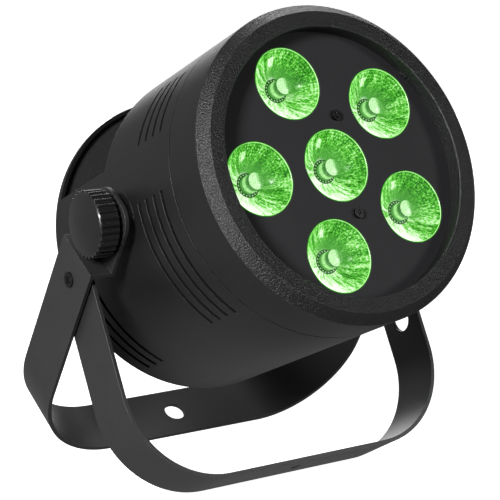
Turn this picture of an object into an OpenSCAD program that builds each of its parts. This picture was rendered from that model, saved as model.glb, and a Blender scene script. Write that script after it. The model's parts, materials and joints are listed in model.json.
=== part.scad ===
// Par can light: drum head with six LED optics, standing on a double yoke.
// Millimetres, +Z up, the lamp shines towards -Y, origin on the floor under the middle.

/* [Head] */
// Outside diameter of the drum
drum_d = 180; // [178:1:182]
// Length of the head from the bezel's face to the outside of the rear plate
head_len = 174.7; // [172:0.1:178]
// Upward tilt of the head as it stands
head_tilt = 23.9; // [15:0.1:30]
// Distance from the bezel's face back to the yoke pivot
pivot_back = 94.3; // [92:0.1:97]
// Height of the yoke pivot above the drum's axis
pivot_up = 1.8; // [0:0.1:3]

/* [Front] */
// Size of the chamfer round the bezel's face
bezel_chamfer = 5.6; // [4.5:0.1:6]
// Opening of the bezel
bezel_open_d = 151.2; // [150:0.1:152]
// Depth of the front panel behind the bezel's face
panel_back = 10.1; // [9.5:0.1:11]
// Distance from the bezel's face back to the seam between band and housing
seam_back = 34; // [33:0.1:35]
// Diameter of one optic
optic_d = 41; // [40:0.1:42]
// Radius of the ring of five optics
optic_pitch_r = 51.2; // [50.5:0.1:52]
// Turn of the ring of optics from the upright
optic_turn = -21.4; // [-30:0.1:-14]

/* [Vents] */
// Width of a vent slot
slot_w = 2.7; // [2:0.1:3]
// Pitch of the vent slots along the drum
slot_pitch = 8.3; // [8:0.1:8.6]

/* [Yoke] */
// Width of both straps
strap_w = 35; // [33:0.5:36]
// Thickness of both straps
strap_t = 2.3; // [2:0.1:2.4]
// Outside width of the rear bracket
rear_w = 222.2; // [221:0.1:224]
// Pivot to the outside of the rear bracket's base
rear_depth = 172.4; // [171:0.1:173]
// Outside corner radius of the rear bracket
rear_corner = 57.4; // [55:0.1:60]
// Lean of the rear bracket from the upright, base to the back
rear_lean = 32.1; // [31:0.1:33]
// Lean of the front bracket from the upright, base to the front
front_lean = 28.5; // [27:0.1:29]
// Outside corner radius of the front bracket
front_corner = 53.8; // [53:0.1:54]
// Pivot to the hinge screw that joins the two brackets
hinge_drop = 40.4; // [40:0.1:42]
// Hanging hole in the rear bracket's base
hang_hole_d = 13; // [10:0.5:14]

/* [Knobs] */
// Diameter over the ribs of a clamp knob
knob_d = 37.6; // [36:0.1:38]
// Ribs round a clamp knob
knob_ribs = 30; // [24:1:32]

/* [Hidden] */
$fn = 64;
fine = 128;
small = 24;
drum_r = drum_d / 2;
wall = 2.2;
shell_in_r = drum_r - wall;
plate_t = 2.5;
plate_front = head_len - plate_t;
shell_back = plate_front - 0.1;
bezel_in_r = bezel_open_d / 2;
face_out_r = drum_r - bezel_chamfer;
spigot_r = drum_r - 2.8;
seam_half = 0.45;
panel_r = bezel_in_r + 2;
panel_t = 2;
optic_r = optic_d / 2;
optic_front = panel_back + 0.3;
optic_back = optic_front + 22.4;
board_front = optic_back + 4.3;
board_t = 1.6;
board_r = 76;
sink_front = board_front + board_t + 0.1;
sink_base_t = 5.2;
fin_back = sink_front + sink_base_t + 28;
fan_front = fin_back + 1;
fan_t = 25;
fan_back = fan_front + fan_t;
fan_hole = 36;
post_r = 28.5;
post_angles = [14.5, 168];

// Connector recess in the top of the drum
cut_front = 114.6;
ring_front = shell_back - 3.5;
floor_z = 34.7;
shoulder_r = 5;
socket_y = (cut_front + ring_front) / 2;
plate_z = floor_z + 0.05;
sheet_t = 1.5;
socket_z = plate_z + sheet_t + 0.05;
inlet_x = -56;
outlet_x = -21;
xlr_in_x = 17;
xlr_out_x = 50;

eye_z = 62;
eye_ring_r = 10;
eye_wire_r = 2.6;
eye_shank_r = 3.1;

// Pivot stack along X
head_out_x = 98.1;
head_in_x = head_out_x - strap_t;
washer_t = 2.2;
boss_end_x = head_in_x - washer_t - 0.1;
boss_r = 15;
stud_r = 4;
fit_gap = 0.05;
bush_r = 7;
knob_r = knob_d / 2;
knob_face_x = 114.6;
knob_back_x = 100.8;

// Yoke stance
rear_out_x = rear_w / 2;
rear_in_x = rear_out_x - strap_t;
front_out_x = rear_in_x - 1.1;
joggle_u = 22;
rear_head_end = 17.5;
pivot_h = rear_depth * cos(rear_lean) + strap_w / 2 * sin(rear_lean);
hinge_h = pivot_h - hinge_drop * cos(rear_lean);
front_depth = (hinge_h - strap_w / 2 * sin(front_lean)) / cos(front_lean);
hinge_r = 2;
arm_hole_r = 8;
arm_hole_u = 52.5;
base_hole_r = 3.25;

// Middle of the stance along Y
reach_front = pivot_back * cos(head_tilt) + (face_out_r + pivot_up) * sin(head_tilt);
reach_back = (head_len - pivot_back) * cos(head_tilt) + (drum_r - pivot_up - 1.4) * sin(head_tilt);
stance_y = (reach_front - reach_back) / 2;

// Rear panel controls
display_z = 8;
button_z = -20;
button_pitch = 15;
button_r = 4;
button_out = 1.6;
ctrl_y = plate_front - 12;
rear_screw_r = 84;
rear_screw_angles = [14, 166, 240, 300];
foot_r = 7;
foot_h = 3;
foot_x = 46;
foot_z = 44;
foot_top_z = 26;
psu_z = -44;

// ---- placing helpers ----

// Head frame: Y runs back from the bezel's face, Z up from the drum's axis
module in_head() {
    translate([0, stance_y, pivot_h])
        rotate([-head_tilt, 0, 0])
            translate([0, -pivot_back, -pivot_up])
                children();
}

// Pivot frame, not turned: X along the pivot
module at_pivot() {
    translate([0, stance_y, pivot_h])
        children();
}

module in_rear_bracket() {
    at_pivot()
        rotate([rear_lean, 0, 0])
            children();
}

module in_front_bracket() {
    in_rear_bracket()
        translate([0, 0, -hinge_drop])
            rotate([-rear_lean - front_lean, 0, 0])
                children();
}

module rod_x(r, x0, x1) {
    translate([x0, 0, 0])
        rotate([0, 90, 0])
            cylinder(r = r, h = x1 - x0);
}

module rod_y(r, y0, y1) {
    translate([0, y0, 0])
        rotate([-90, 0, 0])
            cylinder(r = r, h = y1 - y0);
}

// A profile of [radius, back] points turned about the drum's axis
module turned(points) {
    rotate([-90, 0, 0])
        rotate_extrude($fn = fine)
            polygon(points);
}

// Polar place on the front, angle from the upright towards +X
module at_polar(r, a) {
    translate([r * sin(a), 0, r * cos(a)])
        children();
}

module box_at(size, place) {
    translate([place[0] - size[0] / 2, place[1] - size[1] / 2, place[2] - size[2] / 2])
        cube(size);
}

module at_optic(n) {
    if (n == 1)
        children();
    else
        at_polar(optic_pitch_r, optic_turn + 72 * (n - 2))
            children();
}

// Pan-head screw along Y, head towards -Y, seat at y = 0, with a cross recess
module pan_screw(shank_r, head_r, head_h, length) {
    slot_len = head_r * 1.2;
    slot_wide = head_r * 0.28;
    difference() {
        rod_y(head_r, -head_h, 0, $fn = small);
        box_at([slot_len, head_h, slot_wide], [0, -head_h, 0]);
        box_at([slot_wide, head_h, slot_len], [0, -head_h, 0]);
    }
    rod_y(shank_r, -0.2, length, $fn = small);
}

// ---- front of the head ----

module front_bezel() {
    color([0.16, 0.16, 0.16]) in_head() {
        turned([[bezel_in_r + 0.5, 0], [face_out_r, 0], [drum_r, bezel_chamfer],
            [spigot_r, bezel_chamfer], [spigot_r, panel_back + panel_t + 0.5],
            [panel_r + 0.2, panel_back + panel_t + 0.5], [panel_r + 0.2, panel_back - 0.1],
            [bezel_in_r + 0.8, panel_back - 0.1], [bezel_in_r + 0.8, 3.4],
            [bezel_in_r, 3], [bezel_in_r, 0.5]]);
        for (a = [51.5, 171.5, 291.5])
            rotate([0, a, 0])
                box_at([4, 2, 1.6], [0, panel_back - 1.1, bezel_in_r + 0.6]);
    }
}

module front_band() {
    lip = panel_back + panel_t + 0.9;
    color([0.2, 0.2, 0.2]) in_head()
        turned([[spigot_r + 0.1, bezel_chamfer + 0.1], [drum_r, bezel_chamfer + 0.1],
            [drum_r, seam_back - seam_half], [spigot_r + 0.1, seam_back - seam_half],
            [spigot_r + 0.1, seam_back + 7], [drum_r - 5.2, seam_back + 7],
            [drum_r - 5.2, lip], [spigot_r + 0.1, lip]]);
}

module front_panel() {
    color([0.2, 0.2, 0.21]) in_head()
        difference() {
            rod_y(panel_r, panel_back, panel_back + panel_t, $fn = fine);
            for (n = [1 : 6])
                at_optic(n)
                    rod_y(optic_r + 0.2, panel_back - 1, panel_back + panel_t + 1);
            for (a = post_angles)
                at_polar(post_r, a)
                    rod_y(1.7, panel_back - 1, panel_back + panel_t + 1, $fn = small);
        }
}

module panel_screws() {
    color([0.08, 0.08, 0.08]) in_head()
        for (a = post_angles)
            at_polar(post_r, a)
                translate([0, panel_back - 0.05, 0])
                    pan_screw(1.5, 2.9, 1.6, 9);
}

module panel_posts() {
    color([0.75, 0.62, 0.3]) in_head()
        for (a = post_angles)
            at_polar(post_r, a)
                difference() {
                    rod_y(3, panel_back + panel_t + 0.05, board_front - 0.05, $fn = 6);
                    rod_y(1.55, panel_back + 1, panel_back + panel_t + 10, $fn = small);
                }
}

// One clear collimator: flange, curved flank, front well and rear well
function flank_r(t) = optic_r - 0.6 - (optic_r - 8.6) * pow(t, 1.5);
flank_steps = 8;
flank_top = optic_front + 2.2;

module optic(n) {
    flank = [for (i = [0 : flank_steps])
        [flank_r(i / flank_steps), flank_top + (optic_back - flank_top) * i / flank_steps]];
    color([0.85, 0.95, 0.85]) in_head()
        at_optic(n)
            rotate([-90, 0, 0])
                rotate_extrude()
                    polygon(concat(
                        [[0, optic_front + 9], [6.4, optic_front + 8], [7.6, optic_front],
                            [optic_r, optic_front], [optic_r, flank_top]],
                        flank,
                        [[4.8, optic_back], [4.2, optic_back - 7], [0, optic_back - 8.5]]));
}

module optic_1() { optic(1); }
module optic_2() { optic(2); }
module optic_3() { optic(3); }
module optic_4() { optic(4); }
module optic_5() { optic(5); }
module optic_6() { optic(6); }

module optic_holders() {
    holder_front = panel_back + panel_t + 0.1;
    color([0.1, 0.1, 0.1]) in_head()
        for (n = [1 : 6])
            at_optic(n)
                difference() {
                    rod_y(optic_r + 2, holder_front, board_front - 0.05);
                    rod_y(optic_r + 0.15, holder_front - 1, optic_back - 6);
                    rod_y(optic_r - 6, holder_front, board_front + 1);
                }
}

module led_emitters() {
    color([0.9, 0.88, 0.7]) in_head()
        for (n = [1 : 6])
            at_optic(n) {
                box_at([8, 1.2, 8], [0, board_front - 0.65, 0]);
                rod_y(3, board_front - 3, board_front - 1, $fn = 32);
            }
}

module led_board() {
    color([0.85, 0.86, 0.85]) in_head()
        difference() {
            rod_y(board_r, board_front, board_front + board_t);
            for (a = [15 : 72 : 303])
                at_polar(70, a)
                    rod_y(1.6, board_front - 1, board_front + board_t + 1, $fn = small);
        }
}

module board_screws() {
    color([0.7, 0.7, 0.7]) in_head()
        for (a = [15 : 72 : 303])
            at_polar(70, a)
                translate([0, board_front - 0.05, 0])
                    pan_screw(1.5, 2.8, 1.8, 5.5);
}

module heat_sink() {
    fin_r = drum_r - 6.5;
    fin_front = sink_front + sink_base_t - 1;
    color([0.6, 0.6, 0.62]) in_head()
        difference() {
            union() {
                rod_y(drum_r - 5.4, sink_front, sink_front + sink_base_t, $fn = fine);
                for (i = [-7 : 7]) {
                    fin_x = i * 10.5;
                    fin_len = 2 * sqrt(fin_r * fin_r - fin_x * fin_x);
                    box_at([2, fin_back - fin_front, fin_len], [fin_x, (fin_back + fin_front) / 2, 0]);
                }
                for (x = [-fan_hole, fan_hole], z = [-fan_hole, fan_hole])
                    box_at([10, fin_back - fin_front - 0.3, 10],
                        [x + sign(x) * 0.7, (fin_back + fin_front - 0.3) / 2, z]);
            }
            for (a = [15 : 72 : 303])
                at_polar(70, a)
                    rod_y(1.55, sink_front - 1, sink_front + 4.5, $fn = small);
            for (x = [-fan_hole, fan_hole], z = [-fan_hole, fan_hole])
                translate([x, 0, z])
                    rod_y(2.1, fin_back - 7, fin_back + 1, $fn = small);
        }
}

module fan_frame() {
    color([0.1, 0.1, 0.1]) in_head()
        difference() {
            union() {
                difference() {
                    box_at([80, fan_t, 80], [0, fan_front + fan_t / 2, 0]);
                    rod_y(38.2, fan_front - 1, fan_back + 1);
                }
                for (a = [45, 135])
                    rotate([0, a, 0])
                        box_at([80, 3, 4], [0, fan_back - 1.5, 0]);
                rod_y(16, fan_back - 3, fan_back);
            }
            rod_y(1.55, fan_back - 4, fan_back + 1, $fn = small);
            for (x = [-fan_hole, fan_hole], z = [-fan_hole, fan_hole])
                translate([x, 0, z])
                    rod_y(2.15, fan_front - 1, fan_back + 1, $fn = small);
        }
}

module fan_rotor() {
    hub_front = fan_front + 2;
    hub_back = fan_back - 4;
    color([0.14, 0.14, 0.14]) in_head() {
        rod_y(15, hub_front, hub_back);
        rod_y(1.5, hub_back - 1, fan_back - 0.5, $fn = small);
        for (i = [0 : 6])
            rotate([0, i * 360 / 7, 0])
                translate([0, (hub_front + hub_back) / 2, 0])
                    rotate([0, 0, 38])
                        box_at([17, 1.6, 23], [0, 0, 25]);
    }
}

module fan_screws() {
    color([0.7, 0.7, 0.7]) in_head()
        for (x = [-fan_hole, fan_hole], z = [-fan_hole, fan_hole])
            translate([x, fan_back + 0.05, z])
                rotate([0, 0, 180])
                    pan_screw(2, 3.6, 2.4, fan_t + 6);
}

// ---- housing ----

// Vent slot through the shell, angles from -X towards the top
module vent_slot(y, a0, a1) {
    translate([0, y, 0])
        rotate([-90, 0, 0])
            rotate([0, 0, 180 + a0])
                rotate_extrude(angle = a1 - a0, $fn = fine)
                    translate([shell_in_r - 0.5, -slot_w / 2])
                        square([wall + 1, slot_w]);
}

module vents() {
    for (side = [0, 1])
        mirror([side, 0, 0]) {
            for (i = [0 : 3]) {
                vent_slot(46.5 + slot_pitch * i, 24.3, 50.5);
                vent_slot(46.5 + slot_pitch * i, -47, 3.2);
            }
            for (i = [0 : 2])
                vent_slot(145.3 + slot_pitch * i, -53.5, -3.5);
        }
}

module shell_tube() {
    turned([[shell_in_r, seam_back + seam_half], [drum_r, seam_back + seam_half],
        [drum_r, shell_back], [shell_in_r, shell_back]]);
}

// Wall that closes the drum in front of the recess, with a rounded shoulder
module shoulder_wall() {
    intersection() {
        rotate([-90, 0, 0])
            rotate_extrude($fn = fine) {
                translate([0, cut_front - wall])
                    square([drum_r - shoulder_r, wall]);
                translate([drum_r - shoulder_r, cut_front - shoulder_r])
                    intersection() {
                        difference() {
                            circle(r = shoulder_r);
                            circle(r = shoulder_r - wall);
                        }
                        square([shoulder_r, shoulder_r]);
                    }
            }
        translate([-drum_d, cut_front - 12, floor_z - wall])
            cube([2 * drum_d, 20, drum_d]);
    }
}

module recess_floor() {
    intersection() {
        rod_y(drum_r - 0.5, cut_front - wall, shell_back, $fn = fine);
        translate([-drum_r, cut_front - wall, floor_z - wall])
            cube([drum_d, shell_back, wall]);
    }
}

module main_housing() {
    color([0.2, 0.2, 0.2]) in_head()
        difference() {
            union() {
                difference() {
                    shell_tube();
                    translate([-drum_d, cut_front - shoulder_r, floor_z])
                        cube([2 * drum_d, ring_front - cut_front + shoulder_r, drum_d]);
                }
                shoulder_wall();
                recess_floor();
                for (side = [0, 1])
                    mirror([side, 0, 0])
                        translate([0, pivot_back, pivot_up])
                            rod_x(boss_r, 78, boss_end_x);
                for (a = rear_screw_angles)
                    rotate([0, -a, 0])
                        translate([rear_screw_r, 0, 0])
                            rod_y(4, shell_back - 16, shell_back, $fn = 32);
                intersection() {
                    rod_y(drum_r - 1, 90, shell_back);
                    for (x = [-42, 42], y = [122, 158])
                        translate([x, y, -drum_r])
                            cylinder(r = 4, h = drum_r - 62, $fn = 32);
                }
            }
            translate([-72, cut_front + 4.5, floor_z - wall - 1])
                cube([144, ring_front - cut_front - 9, wall + 2]);
            for (x = [-75, 75], y = [cut_front + 8, ring_front - 8])
                translate([x, y, floor_z - wall - 1])
                    cylinder(r = 1.3, h = wall + 2, $fn = small);
            for (side = [0, 1])
                mirror([side, 0, 0])
                    translate([0, pivot_back, pivot_up])
                        rod_x(bush_r + fit_gap, 70, boss_end_x + 1);
            for (a = rear_screw_angles)
                rotate([0, -a, 0])
                    translate([rear_screw_r, 0, 0])
                        rod_y(1.55, shell_back - 14, shell_back + 1, $fn = small);
            translate([0, 0, eye_z])
                rod_y(eye_shank_r + fit_gap, cut_front - wall - 1, cut_front + 1, $fn = small);
            vents();
        }
}

module bush(side) {
    color([0.75, 0.62, 0.3]) in_head()
        mirror([side, 0, 0])
            translate([0, pivot_back, pivot_up])
                difference() {
                    union() {
                        rod_x(bush_r, 76, boss_end_x);
                        rod_x(9.5, 75.9, 77.9);
                    }
                    rod_x(stud_r + fit_gap, 70, 100);
                }
}

module bush_left() { bush(1); }
module bush_right() { bush(0); }

module washer(side) {
    color([0.07, 0.07, 0.07]) in_head()
        mirror([side, 0, 0])
            translate([0, pivot_back, pivot_up])
                difference() {
                    rod_x(14, boss_end_x + 0.02, head_in_x - 0.08);
                    rod_x(stud_r + 0.3, boss_end_x - 1, head_in_x + 1);
                }
}

module washer_left() { washer(1); }
module washer_right() { washer(0); }

// ---- connector recess ----

module connector_plate() {
    color([0.16, 0.16, 0.17]) in_head()
        difference() {
            box_at([158, ring_front - cut_front - 3, sheet_t], [0, socket_y, plate_z + sheet_t / 2]);
            box_at([26.4, 36.4, 6], [inlet_x, socket_y, plate_z]);
            box_at([26.4, 30.4, 6], [outlet_x, socket_y, plate_z]);
            for (x = [xlr_in_x, xlr_out_x])
                translate([x, socket_y, plate_z - 3])
                    cylinder(r = 12.1, h = 6);
            box_at([7, 6, 6], [xlr_out_x, socket_y + 12.5, plate_z]);
            for (x = [-75, 75], y = [cut_front + 8, ring_front - 8])
                translate([x, y, plate_z - 1])
                    cylinder(r = 1.6, h = 4, $fn = small);
        }
}

module plate_screws() {
    color([0.08, 0.08, 0.08]) in_head()
        for (x = [-75, 75], y = [cut_front + 8, ring_front - 8])
            translate([x, y, plate_z + sheet_t + 0.05])
                rotate([-90, 0, 0])
                    pan_screw(1.2, 2.6, 1.4, 5);
}

inlet_deep = 24;
cavity_x = 19.5;
cavity_y = 16.5;
cavity_off = -7.5;
drawer_off = 10;

// Mains inlet: flange, shroud with an open cavity, and a slot for the fuse drawer
module power_inlet() {
    color([0.06, 0.06, 0.06]) in_head()
        translate([inlet_x, socket_y, socket_z])
            difference() {
                union() {
                    box_at([30, 40, 2], [0, 0, 1]);
                    box_at([26, 36, inlet_deep], [0, 0, -inlet_deep / 2 + 0.5]);
                }
                box_at([cavity_x + 4, cavity_y, 20], [0, cavity_off, 2 - 8]);
                for (x = [-7, 0, 7])
                    box_at([2.1, 4.1, 12], [x, cavity_off, -inlet_deep + 2]);
                box_at([22, 10, 20], [0, drawer_off, 2 - 8]);
            }
}

module inlet_pins() {
    color([0.8, 0.8, 0.8]) in_head()
        translate([inlet_x, socket_y, socket_z])
            for (x = [-7, 0, 7])
                box_at([2, 4, 24], [x, cavity_off, -16]);
}

module fuse_drawer() {
    color([0.1, 0.1, 0.1]) in_head()
        translate([inlet_x, socket_y, socket_z])
            difference() {
                box_at([21.4, 9.4, 18], [0, drawer_off, 2.4 - 9]);
                box_at([18, 5.6, 6], [0, drawer_off, -9]);
                box_at([8, 2.4, 1.6], [0, drawer_off - 4, 2.2]);
            }
}

// Mains outlet: a block with three narrow contact slots inside a thin groove
module power_outlet() {
    color([0.06, 0.06, 0.06]) in_head()
        translate([outlet_x, socket_y, socket_z])
            difference() {
                union() {
                    box_at([30, 34, 2], [0, 0, 1]);
                    box_at([26, 30, inlet_deep], [0, 0, -inlet_deep / 2 + 0.5]);
                }
                difference() {
                    box_at([24, 18.5, 16], [0, 0, 2 - 6]);
                    box_at([20, 14.5, 18], [0, 0, 2 - 7]);
                }
                for (x = [-7, 0, 7])
                    box_at([2.4, 5.4, 16], [x, 0, 2 - 6]);
            }
}

xlr_deep = 22;

module xlr_shell(cavity_r) {
    difference() {
        union() {
            box_at([26, 31, 2], [0, 0, 1]);
            translate([0, 0, -xlr_deep])
                cylinder(r = 12, h = xlr_deep + 1);
        }
        translate([0, 0, -xlr_deep + 6])
            cylinder(r = cavity_r, h = xlr_deep);
        for (s = [-1, 1])
            translate([9.5 * s, 12 * s, -1])
                cylinder(r = 1.6, h = 4, $fn = small);
    }
}

module dmx_in() {
    color([0.3, 0.3, 0.3]) in_head()
        translate([xlr_in_x, socket_y, socket_z])
            difference() {
                xlr_shell(9.6);
                for (a = [0, 120, 240])
                    rotate([0, 0, a + 30])
                        translate([4.2, 0, -xlr_deep - 1])
                            cylinder(r = 1.25, h = 10, $fn = small);
            }
}

module dmx_in_pins() {
    color([0.85, 0.8, 0.6]) in_head()
        translate([xlr_in_x, socket_y, socket_z])
            for (a = [0, 120, 240])
                rotate([0, 0, a + 30])
                    translate([4.2, 0, -xlr_deep - 3])
                        cylinder(r = 1.2, h = 21, $fn = small);
}

module dmx_out() {
    color([0.3, 0.3, 0.3]) in_head()
        translate([xlr_out_x, socket_y, socket_z])
            difference() {
                union() {
                    xlr_shell(9.6);
                    translate([0, 0, -xlr_deep])
                        cylinder(r = 7.4, h = xlr_deep - 0.5);
                }
                for (a = [0, 120, 240])
                    rotate([0, 0, a + 30])
                        translate([4.2, 0, -14])
                            cylinder(r = 1.3, h = 16, $fn = small);
                box_at([6.6, 4.6, 14], [0, 12.8, -3]);
            }
}

// Push tab of the connector that lets the plug go
module dmx_latch() {
    color([0.6, 0.6, 0.6]) in_head()
        translate([xlr_out_x, socket_y, socket_z])
            box_at([5.8, 3.6, 6.4], [0, 12.8, 0.2]);
}

// Eye bolt for a safety cable, through the wall in front of the recess
module safety_eye() {
    ring_y = cut_front + 2 + eye_ring_r + eye_wire_r;
    color([0.7, 0.7, 0.7]) in_head()
        translate([0, 0, eye_z]) {
            translate([0, ring_y, 0])
                rotate_extrude()
                    translate([eye_ring_r, 0])
                        circle(r = eye_wire_r, $fn = small);
            rod_y(eye_shank_r, cut_front - 9, ring_y - eye_ring_r, $fn = small);
            rod_y(6, cut_front + 0.1, cut_front + 2);
            rod_y(5.5, cut_front - wall - 5, cut_front - wall - 0.1, $fn = 6);
        }
}

// ---- rear panel ----

module rear_plate() {
    plate_r = drum_r - 0.4;
    color([0.14, 0.14, 0.14]) in_head()
        difference() {
            turned([[0, plate_front], [plate_r, plate_front],
                [plate_r, head_len - 1], [plate_r - 1, head_len], [0, head_len]]);
            box_at([46.4, 8, 18.4], [0, head_len - 1, display_z]);
            for (i = [-1.5 : 1 : 1.5])
                translate([i * button_pitch, 0, button_z])
                    rod_y(button_r + 0.3, plate_front - 1, head_len + 1, $fn = 32);
            for (a = rear_screw_angles)
                rotate([0, -a, 0])
                    translate([rear_screw_r, 0, 0])
                        rod_y(1.8, plate_front - 1, head_len + 1, $fn = small);
            for (x = [-foot_x, foot_x], z = [-foot_z, foot_top_z])
                translate([x, 0, z])
                    rod_y(2.05, plate_front - 1, head_len + 1, $fn = small);
        }
}

module rear_screws() {
    color([0.08, 0.08, 0.08]) in_head()
        for (a = rear_screw_angles)
            rotate([0, -a, 0])
                translate([rear_screw_r, head_len + 0.05, 0])
                    rotate([0, 0, 180])
                        pan_screw(1.5, 2.9, 1.6, 14);
}

module display_window() {
    color([0.1, 0.02, 0.02]) in_head()
        difference() {
            union() {
                box_at([50, 1.2, 22], [0, head_len + 0.65, display_z]);
                box_at([46, 2.5, 18], [0, head_len - 1, display_z]);
            }
            box_at([42, 2.5, 14], [0, head_len - 2, display_z]);
        }
}

module display_module() {
    color([0.12, 0.12, 0.12]) in_head()
        box_at([44, 9, 16], [0, ctrl_y + 1.65 + 4.5, display_z]);
}

module button(i) {
    color([0.35, 0.35, 0.36]) in_head()
        translate([(i - 1.5) * button_pitch, 0, button_z]) {
            rod_y(button_r, plate_front - 2, head_len + button_out, $fn = 32);
            rod_y(button_r + 1.2, plate_front - 2.2, plate_front - 0.4, $fn = 32);
        }
}

module button_menu() { button(3); }
module button_down() { button(2); }
module button_up() { button(1); }
module button_enter() { button(0); }

module control_board() {
    color([0.05, 0.25, 0.12]) in_head() {
        difference() {
            box_at([84, 1.6, 56], [0, ctrl_y + 0.8, -6]);
            for (x = [-38, 38], z = [-30, 18])
                translate([x, 0, z])
                    rod_y(1.6, ctrl_y - 1, ctrl_y + 3, $fn = small);
        }
        for (i = [-1.5 : 1 : 1.5])
            box_at([6, 7, 6], [i * button_pitch, ctrl_y + 1.6 + 3.4, button_z]);
    }
}

module control_posts() {
    color([0.75, 0.62, 0.3]) in_head()
        for (x = [-38, 38], z = [-30, 18])
            translate([x, 0, z]) {
                rod_y(2.8, ctrl_y + 1.65, plate_front - 0.05, $fn = 6);
                rod_y(1.5, ctrl_y - 3, ctrl_y + 1.7, $fn = small);
            }
}

module power_board() {
    color([0.05, 0.25, 0.12]) in_head()
        difference() {
            box_at([96, 48, 1.6], [0, 140, psu_z + 0.8]);
            for (x = [-42, 42], y = [122, 158])
                translate([x, y, psu_z - 1])
                    cylinder(r = 1.6, h = 4, $fn = small);
        }
}

module transformer() {
    color([0.75, 0.65, 0.25]) in_head() {
        box_at([30, 26, 4], [-14, 140, psu_z + 3.7]);
        box_at([24, 20, 18], [-14, 140, psu_z + 14]);
    }
}

module capacitor() {
    color([0.1, 0.12, 0.2]) in_head()
        for (y = [131, 151])
            translate([22, y, psu_z + 1.65])
                cylinder(r = 8, h = 25);
}

module power_posts() {
    color([0.75, 0.62, 0.3]) in_head()
        for (x = [-42, 42], y = [122, 158])
            translate([x, y, 0]) {
                translate([0, 0, -61.95])
                    cylinder(r = 3, h = psu_z + 61.9, $fn = 6);
                translate([0, 0, psu_z - 0.1])
                    cylinder(r = 1.5, h = 4, $fn = small);
            }
}

module rear_feet() {
    color([0.05, 0.05, 0.05]) in_head()
        for (x = [-foot_x, foot_x], z = [-foot_z, foot_top_z])
            translate([x, 0, z]) {
                rod_y(foot_r, head_len + 0.02, head_len + foot_h);
                rod_y(2, plate_front - 2, head_len + 0.1, $fn = small);
            }
}

// ---- double yoke ----

// Filled U outline: straight arms down from top, rounded corners, base at -depth
module u_outline(half, depth, corner, top) {
    translate([-half, -depth + corner])
        square([2 * half, depth - corner + top]);
    translate([-half + corner, -depth])
        square([2 * (half - corner), corner + 1]);
    for (s = [-1, 1])
        translate([s * (half - corner), -depth + corner])
            circle(r = corner, $fn = fine);
}

// U strap standing in X and Z, strap_w wide in Y
module u_strap(half, depth, corner, top) {
    translate([0, strap_w / 2, 0])
        rotate([90, 0, 0])
            linear_extrude(height = strap_w)
                difference() {
                    u_outline(half, depth, corner, top);
                    u_outline(half - strap_t, depth - strap_t, corner - strap_t, top + 1);
                }
}

// Clamped end of an arm, set in towards the drum, in Y and Z
module rear_arm_head() {
    corner = 13;
    side = strap_w / 2;
    rotate([90, 0, 90])
        linear_extrude(height = strap_t) {
            translate([-side, -joggle_u - strap_t])
                square([strap_w, joggle_u + strap_t + rear_head_end - corner]);
            translate([-side + corner, 0])
                square([strap_w - 2 * corner, rear_head_end]);
            for (s = [-1, 1])
                translate([s * (side - corner), rear_head_end - corner])
                    circle(r = corner, $fn = 48);
        }
}

module rear_bracket() {
    color([0.24, 0.24, 0.24]) in_rear_bracket()
        difference() {
            union() {
                u_strap(rear_out_x, rear_depth, rear_corner, -joggle_u);
                for (side = [0, 1])
                    mirror([side, 0, 0]) {
                        translate([head_in_x, 0, 0])
                            rear_arm_head();
                        translate([head_in_x, -strap_w / 2, -joggle_u - strap_t])
                            cube([rear_out_x - head_in_x, strap_w, strap_t]);
                    }
            }
            rod_x(stud_r + 0.3, -120, 120);
            translate([0, 0, -hinge_drop])
                rod_x(hinge_r + fit_gap, -120, 120, $fn = small);
            translate([0, 0, -rear_depth - 1])
                cylinder(r = hang_hole_d / 2, h = strap_t + 2);
        }
}

module front_bracket() {
    half = strap_w / 2;
    eye_r = 15;
    neck = 9;
    color([0.22, 0.22, 0.22]) in_front_bracket()
        difference() {
            union() {
                u_strap(front_out_x, front_depth, front_corner, -neck);
                for (side = [0, 1])
                    mirror([side, 0, 0])
                        translate([front_out_x - strap_t, 0, 0])
                            rotate([90, 0, 90])
                                linear_extrude(height = strap_t) {
                                    circle(r = eye_r, $fn = 48);
                                    polygon([[-eye_r, 0], [-half, -neck], [half, -neck], [eye_r, 0]]);
                                }
            }
            rod_x(hinge_r + 0.08, -120, 120, $fn = small);
            translate([0, 0, -arm_hole_u])
                rod_x(arm_hole_r, 90, 120);
            translate([0, 0, -front_depth - 1])
                cylinder(r = base_hole_r, h = strap_t + 2, $fn = 32);
        }
}

module hinge_screws() {
    color([0.08, 0.08, 0.08]) in_rear_bracket()
        translate([0, 0, -hinge_drop])
            for (side = [0, 1])
                mirror([side, 0, 0])
                    translate([rear_out_x + 0.02, 0, 0])
                        rotate([0, 0, 90])
                            pan_screw(hinge_r, 4.5, 0.7, 10);
}

module hinge_washers() {
    color([0.85, 0.85, 0.82]) in_rear_bracket()
        translate([0, 0, -hinge_drop])
            for (side = [0, 1])
                mirror([side, 0, 0])
                    difference() {
                        rod_x(7, front_out_x + 0.1, rear_in_x - 0.02);
                        rod_x(hinge_r + fit_gap, 90, 120, $fn = small);
                    }
}

module hinge_nuts() {
    nut_x = front_out_x - strap_t - 0.1;
    color([0.7, 0.7, 0.7]) in_rear_bracket()
        translate([0, 0, -hinge_drop])
            for (side = [0, 1])
                mirror([side, 0, 0])
                    difference() {
                        rod_x(4, nut_x - 3.2, nut_x, $fn = 6);
                        rod_x(hinge_r + fit_gap, 90, 120, $fn = small);
                    }
}

// ---- clamp knobs ----

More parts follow.
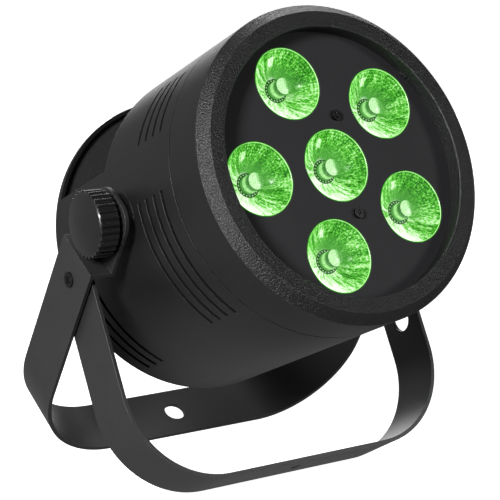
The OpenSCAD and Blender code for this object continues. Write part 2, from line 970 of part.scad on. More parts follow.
module knob(side) {
    body_r = knob_r - 1;
    edge_r = body_r - 0.6;
    rim_x = knob_face_x - 2.6;
    dome = [for (t = [1 : -0.2 : 0]) [edge_r * t, knob_face_x - 1.9 * t * t]];
    color([0.12, 0.12, 0.12]) at_pivot()
        mirror([side, 0, 0])
            difference() {
                union() {
                    rotate([0, 90, 0])
                        rotate_extrude($fn = fine)
                            polygon(concat([[0, head_out_x + 0.1], [9, head_out_x + 0.1],
                                [9, knob_back_x], [body_r, knob_back_x], [body_r, rim_x]], dome));
                    for (i = [0 : knob_ribs - 1])
                        rotate([i * 360 / knob_ribs, 0, 0])
                            translate([0, 0, body_r + 0.1])
                                rod_x(0.9, knob_back_x + 0.3, rim_x + 0.3, $fn = 16);
                }
                rod_x(stud_r + fit_gap, 90, knob_face_x - 5);
            }
}

module knob_left() { knob(1); }
module knob_right() { knob(0); }

module stud(side) {
    color([0.7, 0.7, 0.7]) at_pivot()
        mirror([side, 0, 0])
            rod_x(stud_r, 79, knob_face_x - 5.1);
}

module stud_left() { stud(1); }
module stud_right() { stud(0); }

front_bezel();
front_band();
front_panel();
panel_screws();
panel_posts();
optic_1();
optic_2();
optic_3();
optic_4();
optic_5();
optic_6();
optic_holders();
led_emitters();
led_board();
board_screws();
heat_sink();
fan_frame();
fan_rotor();
fan_screws();
main_housing();
bush_left();
bush_right();
washer_left();
washer_right();
connector_plate();
plate_screws();
power_inlet();
inlet_pins();
fuse_drawer();
power_outlet();
dmx_in();
dmx_in_pins();
dmx_out();
dmx_latch();
safety_eye();
rear_plate();
rear_screws();
display_window();
display_module();
button_menu();
button_down();
button_up();
button_enter();
control_board();
control_posts();
power_board();
transformer();
capacitor();
power_posts();
rear_feet();
rear_bracket();
front_bracket();
hinge_screws();
hinge_washers();
hinge_nuts();
knob_left();
knob_right();
stud_left();
stud_right();
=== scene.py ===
# Looks of the par can light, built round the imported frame. Metres, row frame.
import json
import math

import bmesh
import bpy
from mathutils import Matrix, Vector
from mathutils.geometry import delaunay_2d_cdt


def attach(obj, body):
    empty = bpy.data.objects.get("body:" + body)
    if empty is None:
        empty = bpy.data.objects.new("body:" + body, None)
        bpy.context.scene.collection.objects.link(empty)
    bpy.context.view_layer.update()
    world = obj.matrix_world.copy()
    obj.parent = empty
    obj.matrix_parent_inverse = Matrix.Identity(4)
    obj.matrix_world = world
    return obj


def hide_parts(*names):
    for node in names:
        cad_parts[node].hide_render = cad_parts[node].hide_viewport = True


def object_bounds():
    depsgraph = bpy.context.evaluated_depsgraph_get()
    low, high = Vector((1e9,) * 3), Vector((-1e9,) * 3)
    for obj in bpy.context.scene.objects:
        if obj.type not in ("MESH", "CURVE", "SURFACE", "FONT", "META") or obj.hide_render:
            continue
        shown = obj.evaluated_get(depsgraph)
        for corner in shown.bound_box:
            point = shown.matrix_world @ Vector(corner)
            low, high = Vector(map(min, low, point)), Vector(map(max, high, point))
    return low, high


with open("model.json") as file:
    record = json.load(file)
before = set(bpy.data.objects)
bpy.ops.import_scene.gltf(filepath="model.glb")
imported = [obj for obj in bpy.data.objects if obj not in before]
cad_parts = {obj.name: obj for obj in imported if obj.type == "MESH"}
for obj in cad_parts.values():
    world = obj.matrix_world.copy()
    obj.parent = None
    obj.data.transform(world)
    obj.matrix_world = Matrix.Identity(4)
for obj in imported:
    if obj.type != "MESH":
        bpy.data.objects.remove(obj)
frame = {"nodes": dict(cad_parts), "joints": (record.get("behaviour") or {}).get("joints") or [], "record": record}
CAD_LO, CAD_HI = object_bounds()
MM = 0.001

# ---- drum ----
DRUM_IN_R = 87.8 * MM
# triangles longer than this round the drum cut its curve short
LONGEST_ARC = 9 * MM
# how far apart two corners on one wall may be in radius, or along the drum on a flat face
SAME = 0.02 * MM
NEAR = 0.1 * MM
WELD = 0.001 * MM
# what delaunay_2d_cdt calls its output type: triangles inside the outline
INSIDE_ONLY = 1

# ---- optics, in mm ----
# where round the bowl its painted bright side is, as part of a turn: painted light that stays on that side from
# any view
PAINTED_BRIGHT_SIDE = 0.62
OPTIC_R = 20.5
OPTIC_FRONT = 10.15
RIM_IN = 19.9
BOWL_DEEP = 12.5
WELL_R = 6.9
PILLAR_R = 4.9
PILLAR_TOP = 4.0
# how much narrower the pillar is at its cap
CAP_SHARE = 0.95
CAP_CROWN = 0.9

# ---- light and camera ----
# axis, from, to, glow at from, glow at to
WORLD_GLOW = [
    ("Y", 0.1, 1.0, 0.04, 0.34),
    ("X", -1.0, -0.2, 0.25, 0.0),
    ("Z", -1.0, -0.1, 0.35, 0.0),
]
LIT_POINT = (0, 0, 0.15)
# name, place, size, watts
LAMPS = [
    ("key_left", (-1.3, -0.7, 0.74), (0.35, 0.45), 47),
    ("top_back", (0.9, 1.05, 1.15), (0.5, 0.4), 6),
    ("fill_right", (1.2, -1.4, 0.55), (0.5, 0.5), 10),
    ("rear_fill", (0.9, 1.5, 0.3), (0.9, 0.9), 7),
]
FLOOR_HALF = 8.0
FLOOR_GAP = 0.2 * MM
CAMERA_FROM_PIVOT = (-0.5929, -0.8608, 0.1739)
CAMERA_LOOK = (0.55471, 0.81048, -0.18813)
CAMERA_ROLL = 0.2
CAMERA_LENS = 132.2

# ---- where the head sits ----
JOINTS = {j["name"]: j for j in frame["joints"]}
PIVOT = Vector(JOINTS["head_tilt"]["pos_m"])
BACK = Vector(JOINTS["fan_spin"]["axis"])
TILT = math.atan2(-BACK.z, BACK.y)
PIVOT_BACK = 94.3 * MM
PIVOT_UP = 1.8 * MM
HEAD = (
    Matrix.Translation(PIVOT)
    @ Matrix.Rotation(-TILT, 4, "X")
    @ Matrix.Translation((0, -PIVOT_BACK, -PIVOT_UP))
)


def head_centre(node):
    """Middle of a round CAD node across the head, in the head's own frame."""
    to_head = HEAD.inverted()
    points = [to_head @ v.co for v in frame["nodes"][node].data.vertices]
    xs = [p.x for p in points]
    zs = [p.z for p in points]
    return Vector(((min(xs) + max(xs)) / 2, 0, (min(zs) + max(zs)) / 2))


# ---- node helpers ----
class Graph:
    """A new material and short calls to add and join its nodes."""

    def __init__(self, name):
        self.mat = bpy.data.materials.new(name)
        self.mat.use_nodes = True
        self.tree = self.mat.node_tree
        self.shader = self.tree.nodes["Principled BSDF"]
        self.out = self.tree.nodes["Material Output"]

    def add(self, kind, **values):
        node = self.tree.nodes.new(kind)
        for key, value in values.items():
            setattr(node, key, value)
        return node

    def join(self, a, b):
        self.tree.links.new(a, b)

    def noise(self, coords, scale, detail=3.0, rough=0.55):
        n = self.add("ShaderNodeTexNoise")
        n.inputs["Scale"].default_value = scale
        n.inputs["Detail"].default_value = detail
        n.inputs["Roughness"].default_value = rough
        self.join(coords, n.inputs["Vector"])
        return n.outputs["Fac"]

    def ramp(self, fac, stops):
        r = self.add("ShaderNodeValToRGB")
        els = r.color_ramp.elements
        while len(els) < len(stops):
            els.new(0.5)
        for el, (pos, colour) in zip(els, stops):
            el.position = pos
            el.color = (*colour, 1)
        self.join(fac, r.inputs["Fac"])
        return r.outputs["Color"]

    def remap(self, fac, lo, hi, to_lo, to_hi):
        m = self.add("ShaderNodeMapRange")
        for key, value in zip(("From Min", "From Max", "To Min", "To Max"), (lo, hi, to_lo, to_hi)):
            m.inputs[key].default_value = value
        self.join(fac, m.inputs["Value"])
        return m.outputs["Result"]

    def math(self, op, a, b=None):
        m = self.add("ShaderNodeMath", operation=op)
        for i, v in enumerate((a, b)):
            if v is None:
                continue
            if isinstance(v, (int, float)):
                m.inputs[i].default_value = v
            else:
                self.join(v, m.inputs[i])
        return m.outputs[0]

    def mix(self, fac, a, b):
        m = self.add("ShaderNodeMix", data_type="RGBA")
        if isinstance(fac, (int, float)):
            m.inputs[0].default_value = fac
        else:
            self.join(fac, m.inputs[0])
        for i, v in ((6, a), (7, b)):
            if isinstance(v, tuple):
                m.inputs[i].default_value = (*v, 1)
            else:
                self.join(v, m.inputs[i])
        return m.outputs[2]

    def bump(self, height, strength, distance, edge=0.0):
        b = self.add("ShaderNodeBump")
        b.inputs["Strength"].default_value = strength
        b.inputs["Distance"].default_value = distance
        self.join(height, b.inputs["Height"])
        if edge:
            r = self.add("ShaderNodeBevel", samples=4)
            r.inputs["Radius"].default_value = edge
            self.join(r.outputs["Normal"], b.inputs["Normal"])
        self.join(b.outputs["Normal"], self.shader.inputs["Normal"])

    def coords(self, kind="Object"):
        return self.add("ShaderNodeTexCoord").outputs[kind]


def moulded(name, dark, light, rough, grain, depth, edge=0.4 * MM, wear=0.06, spec=0.5):
    """Plastic or paint: mottled colour, a fine grain in the surface, paler worn edges."""
    g = Graph(name)
    at = g.coords()
    cloud = g.noise(at, 45, 4)
    fine = g.noise(at, grain, 3, 0.6)
    colour = g.mix(cloud, dark, light)
    speck = g.remap(fine, 0.35, 0.7, 0.8, 1.25)
    tint = g.add("ShaderNodeVectorMath", operation="SCALE")
    g.join(colour, tint.inputs[0])
    g.join(speck, tint.inputs["Scale"])
    bevel = g.add("ShaderNodeBevel", samples=4)
    bevel.inputs["Radius"].default_value = edge
    geo = g.add("ShaderNodeNewGeometry")
    dot = g.add("ShaderNodeVectorMath", operation="DOT_PRODUCT")
    g.join(bevel.outputs["Normal"], dot.inputs[0])
    g.join(geo.outputs["Normal"], dot.inputs[1])
    edge_mask = g.remap(dot.outputs["Value"], 0.985, 0.9, 0.0, 1.0)
    worn = g.math("MULTIPLY", edge_mask, g.remap(g.noise(at, 260, 3), 0.4, 0.65, 0.25, 1.0))
    pale = tuple(c + wear for c in light)
    g.join(g.mix(worn, tint.outputs["Vector"], pale), g.shader.inputs["Base Color"])
    g.join(g.remap(fine, 0.3, 0.7, rough - 0.07, rough + 0.09), g.shader.inputs["Roughness"])
    g.shader.inputs["Specular IOR Level"].default_value = spec
    g.bump(fine, 1.0, depth, edge)
    return g.mat


def bare_metal(name, dark, light, rough):
    """Metal with fine tool marks and slightly uneven shine."""
    g = Graph(name)
    mapping = g.add("ShaderNodeMapping")
    mapping.inputs["Scale"].default_value = (1, 1, 12)
    g.join(g.coords(), mapping.inputs["Vector"])
    marks = g.noise(mapping.outputs["Vector"], 400, 4)
    cloud = g.noise(g.coords(), 120, 3)
    g.join(g.mix(cloud, dark, light), g.shader.inputs["Base Color"])
    g.join(g.remap(marks, 0.3, 0.7, rough - 0.08, rough + 0.1), g.shader.inputs["Roughness"])
    g.shader.inputs["Metallic"].default_value = 1.0
    g.bump(marks, 1.0, 0.01 * MM, 0.2 * MM)
    return g.mat


def board(name, dark, light):
    """Circuit board: solder mask over faint tracks."""
    g = Graph(name)
    tracks = g.add("ShaderNodeTexVoronoi", distance="CHEBYCHEV", feature="F1")
    tracks.inputs["Scale"].default_value = 160
    g.join(g.coords(), tracks.inputs["Vector"])
    lines = g.remap(tracks.outputs["Distance"], 0.3, 0.36, 0.0, 1.0)
    g.join(g.mix(lines, dark, light), g.shader.inputs["Base Color"])
    g.join(g.remap(g.noise(g.coords(), 300), 0.3, 0.7, 0.3, 0.5), g.shader.inputs["Roughness"])
    g.bump(lines, 1.0, 0.02 * MM)
    return g.mat


def lit(name, colour_of, strength):
    """A glowing clear-plastic surface; colour_of(graph, uv) gives its colour."""
    g = Graph(name)
    colour = colour_of(g, g.coords("UV"))
    g.join(g.mix(0.75, colour, (0.0, 0.02, 0.0)), g.shader.inputs["Base Color"])
    g.join(colour, g.shader.inputs["Emission Color"])
    g.shader.inputs["Emission Strength"].default_value = strength
    g.join(g.remap(g.noise(g.coords(), 900), 0.3, 0.7, 0.15, 0.35), g.shader.inputs["Roughness"])
    return g.mat


def split_uv(g, uv):
    s = g.add("ShaderNodeSeparateXYZ")
    g.join(uv, s.inputs[0])
    return s.outputs["X"], s.outputs["Y"]


def ring_coords(g, u, v, around, along):
    """Coordinates that wrap seamlessly round a ring: around sets the grain round it."""
    turn = g.math("MULTIPLY", u, 2 * math.pi)
    c = g.add("ShaderNodeCombineXYZ")
    g.join(g.math("MULTIPLY", g.math("COSINE", turn), around), c.inputs["X"])
    g.join(g.math("MULTIPLY", g.math("SINE", turn), around), c.inputs["Y"])
    g.join(g.math("MULTIPLY", v, along), c.inputs["Z"])
    return c.outputs[0]


GREENS = [(0.0, (0.006, 0.085, 0.002)), (0.22, (0.02, 0.24, 0.005)), (0.45, (0.085, 0.5, 0.02)),
          (0.7, (0.36, 0.84, 0.22)), (1.0, (0.9, 1.0, 0.84))]


def near(g, value, centre, half, soft):
    """1 within half of centre, falling to 0 over soft."""
    away = g.math("ABSOLUTE", g.math("SUBTRACT", value, centre))
    return g.remap(away, half, half + soft, 1.0, 0.0)


def bowl_colour(seed):
    """Streaks that run outwards, dotted arcs, one side painted bright with a painted highlight and a painted
    glint, and a calm patch of painted shade opposite.
    """
    def colour(g, uv):
        u, v = split_uv(g, uv)
        shift = g.add("ShaderNodeVectorMath", operation="ADD")
        shift.inputs[1].default_value = (seed * 7.3, seed * 3.1, seed * 5.7)
        g.join(ring_coords(g, u, v, 4.2, 0.9), shift.inputs[0])
        streak = g.noise(shift.outputs[0], 1.5, 3, 0.6)
        speck = g.noise(ring_coords(g, u, v, 9.0, 5.0), 2.0 + 0.1 * seed, 4, 0.75)
        patch = g.noise(shift.outputs[0], 0.45, 2, 0.5)
        # painted light: side is highest at the painted bright side of the bowl and lowest opposite; the streaks
        # show faintest on the painted shaded side
        side = g.math("COSINE", g.math("MULTIPLY", g.math("SUBTRACT", u, PAINTED_BRIGHT_SIDE), 2 * math.pi))
        level = g.remap(streak, 0.36, 0.66, -0.3, 0.32)
        level = g.math("MULTIPLY", level, g.remap(side, -0.9, 0.1, 0.35, 1.0))
        level = g.math("ADD", level, g.remap(speck, 0.38, 0.64, -0.32, 0.34))
        level = g.math("ADD", level, g.remap(patch, 0.35, 0.65, -0.1, 0.12))
        # painted light: the whole bowl brighter on one side
        level = g.math("ADD", level, g.remap(side, -1.0, 1.0, 0.3, 0.76))
        # painted highlight, strongest towards the rim on the painted bright side
        painted_hot_spot = g.math("MULTIPLY", g.remap(side, 0.55, 1.0, 0.0, 0.6), g.remap(v, 0.3, 0.7, 0.2, 1.0))
        level = g.math("ADD", level, painted_hot_spot)
        rings = g.math("SINE", g.math("MULTIPLY", v, 2 * math.pi * 11))
        spokes = g.math("SINE", g.math("MULTIPLY", u, 2 * math.pi * 64))
        arcs = g.math("MULTIPLY", g.remap(rings, 0.0, 0.9, 0, 1), g.remap(spokes, -0.9, 0.7, 0.25, 1))
        arcs = g.math("MULTIPLY", arcs, g.remap(v, 0.45, 0.75, 0.0, 0.24))
        level = g.math("ADD", level, g.math("MULTIPLY", arcs, g.remap(side, -0.2, -0.8, 0.1, 1.0)))
        # painted glint: a small bright spot near the rim
        glint = g.math("MULTIPLY", near(g, u, 0.965, 0.012, 0.016), near(g, v, 0.62, 0.12, 0.06))
        level = g.math("ADD", level, g.math("MULTIPLY", glint, 0.45))
        # painted shade: an even darker green low in the bowl, near the well, on the side away from the painted
        # bright one
        calm = g.math("MULTIPLY", g.remap(v, 0.25, 0.6, 0.75, 0.0), g.remap(side, 0.1, -0.7, 0.0, 1.0))
        return g.mix(calm, g.ramp(level, GREENS), (0.075, 0.33, 0.045))
    return colour


def floor_colour(g, uv):
    """Dark ring at the bottom of the bowl with small bright facets."""
    u, v = split_uv(g, uv)
    spokes = g.math("SINE", g.math("MULTIPLY", u, 2 * math.pi * 20))
    level = g.math("MULTIPLY", g.remap(spokes, 0.1, 0.6, 0, 1), near(g, v, 0.5, 0.16, 0.1))
    grain = g.noise(ring_coords(g, u, v, 3, 3), 2.0)
    level = g.math("ADD", g.math("MULTIPLY", level, 0.75), g.remap(grain, 0.45, 0.8, 0.0, 0.35))
    return g.ramp(level, [(0.0, (0.006, 0.055, 0.003)), (0.5, (0.05, 0.26, 0.03)),
                          (1.0, (0.6, 0.95, 0.5))])


def pillar_colour(g, uv):
    """Side of the middle pillar: a pale band of painted highlight half way up, and painted shade under the cap."""
    u, v = split_uv(g, uv)
    grain = g.noise(ring_coords(g, u, v, 2.2, 1.5), 2.0, 3)
    # painted highlight: a pale band half way up the pillar
    band = g.math("MULTIPLY", near(g, v, 0.42, 0.1, 0.14), 0.5)
    level = g.math("ADD", g.remap(grain, 0.3, 0.7, -0.12, 0.12), band)
    # painted shade: darker towards the cap
    level = g.math("ADD", level, g.remap(v, 0.6, 0.8, 0.35, 0.1))
    return g.ramp(level, [(0.0, (0.02, 0.12, 0.014)), (0.4, (0.09, 0.34, 0.06)),
                          (1.0, (0.45, 0.86, 0.33))])


def cap_colour(g, uv):
    """Honeycomb on the pillar's end, with a painted highlight on the side next to the painted bright part of the
    bowl.
    """
    cells = g.add("ShaderNodeTexVoronoi")
    cells.inputs["Scale"].default_value = 1700
    at = g.coords()
    g.join(at, cells.inputs["Vector"])
    s = g.add("ShaderNodeSeparateXYZ")
    g.join(at, s.inputs[0])
    # painted highlight: the cap paler on one fixed side, by its place across the lens
    pale = g.remap(s.outputs["X"], -0.2 * MM, 2.6 * MM, 1.0, 0.0)
    comb = g.remap(cells.outputs["Distance"], 0.1, 0.7, 0.55, 0.25)
    level = g.math("ADD", g.math("MULTIPLY", pale, 0.42), comb)
    return g.ramp(level, [(0.1, (0.03, 0.18, 0.02)), (0.45, (0.14, 0.46, 0.09)), (0.75, (0.5, 0.87, 0.4)),
                          (1.0, (0.88, 1.0, 0.82))])


def rim_colour(g, uv):
    """Outer flange: a bright inner line and a dim green edge."""
    u, v = split_uv(g, uv)
    grain = g.noise(ring_coords(g, u, v, 2.5, 1.0), 1.5, 2)
    level = g.math("ADD", g.remap(v, 0.2, 0.5, 0.75, 0.25), g.remap(grain, 0.3, 0.7, -0.15, 0.15))
    return g.ramp(level, GREENS)


def clear_cover(name):
    """Thin clear front: shows what is behind it, with a faint sheen."""
    g = Graph(name)
    clear = g.add("ShaderNodeBsdfTransparent")
    gloss = g.add("ShaderNodeBsdfGlossy")
    wave = g.noise(g.coords(), 500, 2)
    g.join(g.ramp(wave, [(0.3, (0.8, 0.9, 0.8)), (0.7, (0.9, 1.0, 0.9))]), gloss.inputs["Color"])
    g.join(g.remap(wave, 0.3, 0.7, 0.4, 0.5), gloss.inputs["Roughness"])
    fres = g.add("ShaderNodeFresnel")
    fres.inputs["IOR"].default_value = 1.25
    mixer = g.add("ShaderNodeMixShader")
    g.join(fres.outputs[0], mixer.inputs[0])
    g.join(clear.outputs[0], mixer.inputs[1])
    g.join(gloss.outputs[0], mixer.inputs[2])
    g.join(mixer.outputs[0], g.out.inputs["Surface"])
    return g.mat


# ---- mesh helpers ----
def revolve(parts, name, segments=96):
    """One object from several [radius, depth] profiles turned about +Y, a material each."""
    bm = bmesh.new()
    uv_layer = bm.loops.layers.uv.new("UVMap")
    mats = []
    for profile, mat, flip in parts:
        index = len(mats)
        mats.append(mat)
        rings = []
        for r, y in profile:
            ring = []
            for k in range(segments):
                a = 2 * math.pi * k / segments
                ring.append(bm.verts.new((r * math.sin(a), y, r * math.cos(a))))
            rings.append(ring)
        steps = len(rings) - 1
        for i in range(steps):
            for k in range(segments):
                j = (k + 1) % segments
                quad = [rings[i][k], rings[i][j], rings[i + 1][j], rings[i + 1][k]]
                uvs = [(k / segments, i / steps), ((k + 1) / segments, i / steps),
                       ((k + 1) / segments, (i + 1) / steps), (k / segments, (i + 1) / steps)]
                if flip:
                    quad.reverse()
                    uvs.reverse()
                face = bm.faces.new(quad)
                face.smooth = True
                face.material_index = index
                for loop, uv in zip(face.loops, uvs):
                    loop[uv_layer].uv = uv
    mesh = bpy.data.meshes.new(name)
    bm.to_mesh(mesh)
    bm.free()
    for mat in mats:
        mesh.materials.append(mat)
    obj = bpy.data.objects.new(name, mesh)
    bpy.context.scene.collection.objects.link(obj)
    return obj


# ---- optics ----
def optic_piece(n, mats):
    """Clear cup over an emitter: bowl, dark ring, pillar with a pale cap, rim and cover."""
    steps = 14
    bowl = []
    for i in range(steps + 1):
        t = i / steps
        bowl.append(((WELL_R + (RIM_IN - WELL_R) * t) * MM,
                     (BOWL_DEEP - (BOWL_DEEP - 0.5) * t ** 1.5) * MM))
    floor = [(PILLAR_R * MM, BOWL_DEEP * MM), (WELL_R * MM, BOWL_DEEP * MM)]
    cap_r = PILLAR_R * CAP_SHARE
    pillar = [(PILLAR_R * MM, BOWL_DEEP * MM), (cap_r * MM, PILLAR_TOP * MM)]
    cap = [(cap_r * c * MM, (PILLAR_TOP - CAP_CROWN * (1 - c * c)) * MM)
           for c in (1, 0.8, 0.55, 0.3, 0.02)]
    rim = [(RIM_IN * MM, 0.5 * MM), ((RIM_IN + 0.15) * MM, 0.05 * MM),
           ((OPTIC_R - 0.2) * MM, 0), (OPTIC_R * MM, 0.2 * MM), (OPTIC_R * MM, 2 * MM)]
    cover = [(0.02 * MM, 0.25 * MM), (10 * MM, 0.3 * MM), ((RIM_IN + 0.05) * MM, 0.4 * MM)]
    obj = revolve([(bowl, mats["bowl"], False), (floor, mats["floor"], False),
                   (pillar, mats["pillar"], True), (cap, mats["cap"], True),
                   (rim, mats["rim"], False), (cover, mats["cover"], False)],
                  f"optic_{n}_lens")
    centre = head_centre(f"optic_{n}")
    obj.matrix_world = HEAD @ Matrix.Translation((centre.x, OPTIC_FRONT * MM, centre.z))
    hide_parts(f"optic_{n}")
    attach(obj, "head")


def build_optics():
    """Six lenses, alike but for the streaks in their bowls."""
    mats = {
        "floor": lit("optic_floor", floor_colour, 0.9),
        "pillar": lit("optic_pillar", pillar_colour, 0.9),
        "cap": lit("optic_cap", cap_colour, 1.0),
        "rim": lit("optic_rim", rim_colour, 0.9),
        "cover": clear_cover("optic_cover"),
    }
    for n in range(1, 7):
        mats["bowl"] = lit(f"optic_bowl_{n}", bowl_colour(n), 1.0)
        optic_piece(n, mats)


# ---- materials of the CAD nodes, by slot ----
def slot_materials():
    """A material for each slot of the record; the dark ones come first."""
    black = dict(
        bezel_plastic=moulded("bezel_sand", (0.003, 0.003, 0.0034), (0.009, 0.009, 0.0095),
                              0.36, 1000, 0.8 * MM, 0.5 * MM, 0.05),
        housing_plastic=moulded("housing_satin", (0.0045, 0.0045, 0.005), (0.008, 0.008, 0.0085),
                                0.42, 2200, 0.08 * MM, 0.4 * MM, 0.05, spec=0.38),
        panel_plastic=moulded("panel_satin", (0.013, 0.013, 0.0142), (0.018, 0.018, 0.0196),
                              0.6, 3000, 0.015 * MM, spec=0.2),
        rear_plastic=moulded("rear_satin", (0.015, 0.015, 0.016), (0.024, 0.024, 0.025),
                             0.45, 1300, 0.12 * MM, 0.5 * MM, 0.05),
        holder_plastic=moulded("holder_matt", (0.008, 0.008, 0.008), (0.014, 0.014, 0.014),
                               0.6, 1800, 0.02 * MM),
        fan_plastic=moulded("fan_satin", (0.012, 0.012, 0.013), (0.02, 0.02, 0.021),
                            0.45, 1600, 0.02 * MM),
        socket_plastic=moulded("socket_gloss", (0.008, 0.008, 0.009), (0.014, 0.014, 0.015),
                               0.25, 1800, 0.01 * MM),
        knob_plastic=moulded("knob_satin", (0.006, 0.006, 0.0065), (0.011, 0.011, 0.0115),
                             0.28, 1900, 0.03 * MM, 0.35 * MM, 0.05, spec=0.35),
        display_black=moulded("display_matt", (0.01, 0.01, 0.01), (0.02, 0.02, 0.02),
                              0.5, 900, 0.02 * MM),
        washer_rubber=moulded("washer_rubber", (0.01, 0.01, 0.01), (0.018, 0.018, 0.018),
                              0.75, 1200, 0.03 * MM, spec=0.3),
        foot_rubber=moulded("foot_rubber", (0.01, 0.01, 0.01), (0.02, 0.02, 0.02),
                            0.8, 1100, 0.04 * MM, spec=0.3),
        bracket_paint=moulded("bracket_powder", (0.012, 0.012, 0.0125), (0.02, 0.02, 0.021),
                              0.42, 1700, 0.05 * MM, 0.4 * MM, 0.07),
        sheet_black=moulded("sheet_powder", (0.014, 0.014, 0.014), (0.024, 0.024, 0.024),
                            0.45, 1700, 0.04 * MM),
    )
    other = dict(
        button_grey=moulded("button_grey", (0.12, 0.12, 0.125), (0.17, 0.17, 0.175),
                            0.5, 1500, 0.03 * MM),
        window_red=moulded("window_red", (0.035, 0.002, 0.002), (0.06, 0.004, 0.004),
                           0.12, 600, 0.004 * MM, wear=0.02),
        washer_nylon=moulded("washer_nylon", (0.5, 0.49, 0.46), (0.62, 0.61, 0.57),
                             0.45, 700, 0.02 * MM),
        led_phosphor=moulded("led_phosphor", (0.6, 0.55, 0.18), (0.75, 0.7, 0.3),
                             0.4, 1500, 0.02 * MM),
        capacitor_sleeve=moulded("capacitor_sleeve", (0.02, 0.025, 0.07), (0.035, 0.04, 0.1),
                                 0.25, 500, 0.01 * MM),
        tape_yellow=moulded("tape_yellow", (0.5, 0.36, 0.05), (0.62, 0.46, 0.08),
                            0.3, 400, 0.02 * MM),
        board_white=board("board_white", (0.5, 0.5, 0.48), (0.62, 0.62, 0.6)),
        board_green=board("board_green", (0.006, 0.07, 0.02), (0.01, 0.12, 0.035)),
        black_screw=bare_metal("black_screw", (0.02, 0.02, 0.02), (0.05, 0.05, 0.05), 0.32),
        zinc_steel=bare_metal("zinc_steel", (0.5, 0.51, 0.52), (0.64, 0.65, 0.66), 0.3),
        connector_metal=bare_metal("connector_metal", (0.05, 0.05, 0.052), (0.09, 0.09, 0.09), 0.3),
        latch_metal=bare_metal("latch_metal", (0.4, 0.4, 0.41), (0.52, 0.52, 0.53), 0.35),
        pin_metal=bare_metal("pin_metal", (0.62, 0.56, 0.38), (0.75, 0.68, 0.48), 0.25),
        black_aluminium=bare_metal("black_aluminium", (0.012, 0.012, 0.013), (0.024, 0.024, 0.026), 0.5),
        brass=bare_metal("brass", (0.58, 0.42, 0.17), (0.7, 0.54, 0.25), 0.28),
    )
    return {**black, **other}


# ---- meshes of the CAD nodes ----
def smooth_normals(obj):
    """Even shading on the curved walls, with crisp corners."""
    split = obj.modifiers.new("crisp_corners", "EDGE_SPLIT")
    split.split_angle = math.radians(30)
    even = obj.modifiers.new("even_normals", "WEIGHTED_NORMAL")
    even.mode = "FACE_AREA_WITH_ANGLE"
    even.keep_sharp = False


def flat_on_drum(point, turn):
    """A point on the drum's wall, unrolled: length round the drum and along it."""
    around = math.atan2(point.x, point.z) - turn
    around = (around + math.pi) % (2 * math.pi) - math.pi
    return Vector((around * math.hypot(point.x, point.z), point.y))


def facing(face):
    """Above 0 where a face looks away from the drum's axis."""
    corner = face.verts[0].co
    return face.normal.dot(Vector((corner.x, 0, corner.z)))


def even_strips(bm):
    """Refill the strips between the vent slots with triangles that follow the drum.

    A face with all its corners on one of the drum's walls, but long round it, cuts inside
    the curve. Faces across the drum's axis are left alone."""
    long_faces = []
    for face in bm.faces:
        points = [v.co for v in face.verts]
        radii = [math.hypot(p.x, p.z) for p in points]
        along = [p.y for p in points]
        off_wall = min(radii) < DRUM_IN_R - NEAR or max(radii) - min(radii) > SAME
        if off_wall or max(along) - min(along) < NEAR:
            continue
        turn = math.atan2(points[0].x, points[0].z)
        spread = [flat_on_drum(p, turn).x for p in points]
        if max(spread) - min(spread) > LONGEST_ARC:
            long_faces.append(face)
    waiting = set(long_faces)
    patches = []
    for first in long_faces:
        if first not in waiting:
            continue
        waiting.remove(first)
        patch = [first]
        for face in patch:
            for other in (f for edge in face.edges for f in edge.link_faces):
                if other in waiting:
                    waiting.remove(other)
                    patch.append(other)
        patches.append(patch)
    for patch in patches:
        refill(bm, patch)


def refill(bm, patch):
    """New triangles between the same corners, as even as they come with the wall unrolled."""
    verts = list(dict.fromkeys(v for face in patch for v in face.verts))
    index = {v: i for i, v in enumerate(verts)}
    turn = math.atan2(verts[0].co.x, verts[0].co.z)
    rim = [e for face in patch for e in face.edges if sum(f in patch for f in e.link_faces) == 1]
    flat = [flat_on_drum(v.co, turn) for v in verts]
    pairs = [(index[e.verts[0]], index[e.verts[1]]) for e in rim]
    outward = sum(facing(f) for f in patch)
    filled = delaunay_2d_cdt(flat, pairs, [], INSIDE_ONLY, WELD)
    faces, came_from = filled[2], filled[3]
    bmesh.ops.delete(bm, geom=patch, context="FACES_KEEP_BOUNDARY")
    for corners in faces:
        face = bm.faces.new([verts[came_from[c][0]] for c in corners])
        face.smooth = True
        face.normal_update()
        if facing(face) * outward < 0:
            face.normal_flip()


def housing_piece():
    """The main housing with evenly filled strips between its slots."""
    node = frame["nodes"]["main_housing"]
    bm = bmesh.new()
    bm.from_mesh(node.data)
    bm.transform(HEAD.inverted())
    even_strips(bm)
    bm.transform(HEAD)
    mesh = bpy.data.meshes.new("housing_shell")
    bm.to_mesh(mesh)
    bm.free()
    for layer in [a for a in mesh.attributes if a.name == "custom_normal"]:
        mesh.attributes.remove(layer)
    for slot in node.material_slots:
        mesh.materials.append(slot.material)
    obj = bpy.data.objects.new("housing_shell", mesh)
    bpy.context.scene.collection.objects.link(obj)
    smooth_normals(obj)
    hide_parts("main_housing")
    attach(obj, "head")


def dress_nodes():
    """The record's slot picks each CAD node's material; the lit optics are pieces of their own."""
    mats = slot_materials()
    for entry in frame["record"]["subparts"]:
        mat = mats.get(entry["material_slot"])
        if mat is None:
            continue
        obj = frame["nodes"][entry["node"]]
        if not obj.material_slots:
            obj.data.materials.append(mat)
        for slot in obj.material_slots:
            slot.material = mat
        smooth_normals(obj)


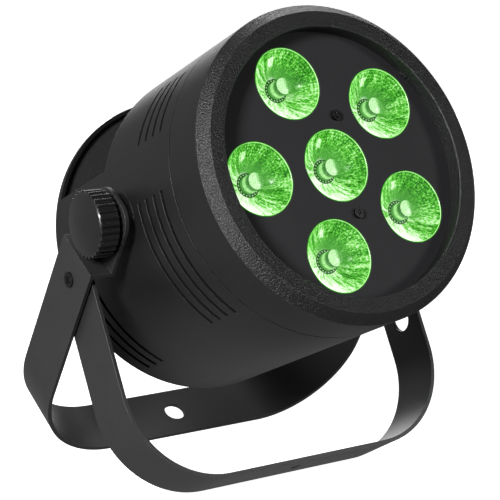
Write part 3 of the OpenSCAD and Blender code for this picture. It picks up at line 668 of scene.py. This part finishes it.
# ---- studio ----
def studio_floor():
    """Pale floor just under the object, which adds no light of its own to it."""
    bm = bmesh.new()
    bmesh.ops.create_grid(bm, x_segments=8, y_segments=8, size=FLOOR_HALF)
    mesh = bpy.data.meshes.new("studio_floor")
    bm.to_mesh(mesh)
    bm.free()
    floor = bpy.data.objects.new("studio_floor", mesh)
    bpy.context.scene.collection.objects.link(floor)
    floor.location.z = CAD_LO.z - FLOOR_GAP
    floor.visible_glossy = False
    floor.visible_diffuse = False
    g = Graph("studio_paper")
    paper = g.ramp(g.noise(g.coords(), 3), [(0.0, (0.78, 0.78, 0.78)), (1.0, (0.8, 0.8, 0.8))])
    g.join(paper, g.shader.inputs["Base Color"])
    g.join(paper, g.shader.inputs["Emission Color"])
    g.shader.inputs["Emission Strength"].default_value = 1.2
    g.shader.inputs["Roughness"].default_value = 0.9
    g.shader.inputs["Specular IOR Level"].default_value = 0.0
    mesh.materials.append(g.mat)


def studio_world():
    """White to look at; as a light it is dim in front, brighter behind, at the left and below."""
    world = bpy.data.worlds.new("studio")
    world.use_nodes = True
    tree = world.node_tree
    seen = tree.nodes["Background"]
    seen.inputs["Color"].default_value = (1, 1, 1, 1)
    seen.inputs["Strength"].default_value = 1.0
    cast = tree.nodes.new("ShaderNodeBackground")
    coord = tree.nodes.new("ShaderNodeTexCoord")
    split = tree.nodes.new("ShaderNodeSeparateXYZ")
    tree.links.new(coord.outputs["Generated"], split.inputs[0])
    total = None
    for axis, lo, hi, to_lo, to_hi in WORLD_GLOW:
        part = tree.nodes.new("ShaderNodeMapRange")
        part.interpolation_type = "SMOOTHSTEP"
        for key, value in zip(("From Min", "From Max", "To Min", "To Max"), (lo, hi, to_lo, to_hi)):
            part.inputs[key].default_value = value
        tree.links.new(split.outputs[axis], part.inputs["Value"])
        if total is None:
            total = part.outputs["Result"]
        else:
            add = tree.nodes.new("ShaderNodeMath")
            tree.links.new(total, add.inputs[0])
            tree.links.new(part.outputs["Result"], add.inputs[1])
            total = add.outputs[0]
    tree.links.new(total, cast.inputs["Strength"])
    path = tree.nodes.new("ShaderNodeLightPath")
    mixer = tree.nodes.new("ShaderNodeMixShader")
    tree.links.new(path.outputs["Is Camera Ray"], mixer.inputs[0])
    tree.links.new(cast.outputs[0], mixer.inputs[1])
    tree.links.new(seen.outputs[0], mixer.inputs[2])
    tree.links.new(mixer.outputs[0], tree.nodes["World Output"].inputs["Surface"])
    bpy.context.scene.world = world


def area(name, place, size, power):
    """A rectangular lamp turned to the object's middle."""
    data = bpy.data.lights.new(name, "AREA")
    data.shape = "RECTANGLE"
    data.size, data.size_y = size
    data.energy = power
    lamp = bpy.data.objects.new(name, data)
    bpy.context.scene.collection.objects.link(lamp)
    lamp.location = place
    aim = Vector(LIT_POINT) - Vector(place)
    lamp.rotation_euler = aim.to_track_quat("-Z", "Y").to_euler()


def studio():
    studio_floor()
    studio_world()
    for name, place, size, power in LAMPS:
        area(name, place, size, power)


def camera():
    """Looks down on the lamp's front from its left, tilted a little about the line of sight."""
    data = bpy.data.cameras.new("camera")
    data.sensor_width = 36
    data.lens = CAMERA_LENS
    data.clip_start, data.clip_end = 0.05, 50
    cam = bpy.data.objects.new("camera", data)
    bpy.context.scene.collection.objects.link(cam)
    cam.location = Vector((0, PIVOT.y, PIVOT.z)) + Vector(CAMERA_FROM_PIVOT)
    look = Vector(CAMERA_LOOK).normalized()
    turn = look.to_track_quat("-Z", "Y")
    roll = Matrix.Rotation(math.radians(CAMERA_ROLL), 4, look)
    cam.matrix_world = Matrix.Translation(cam.location) @ roll @ turn.to_matrix().to_4x4()
    bpy.context.scene.camera = cam


bpy.context.scene.view_settings.view_transform = "Standard"
bpy.context.scene.view_settings.look = "None"

camera()
studio()
dress_nodes()
housing_piece()
build_optics()
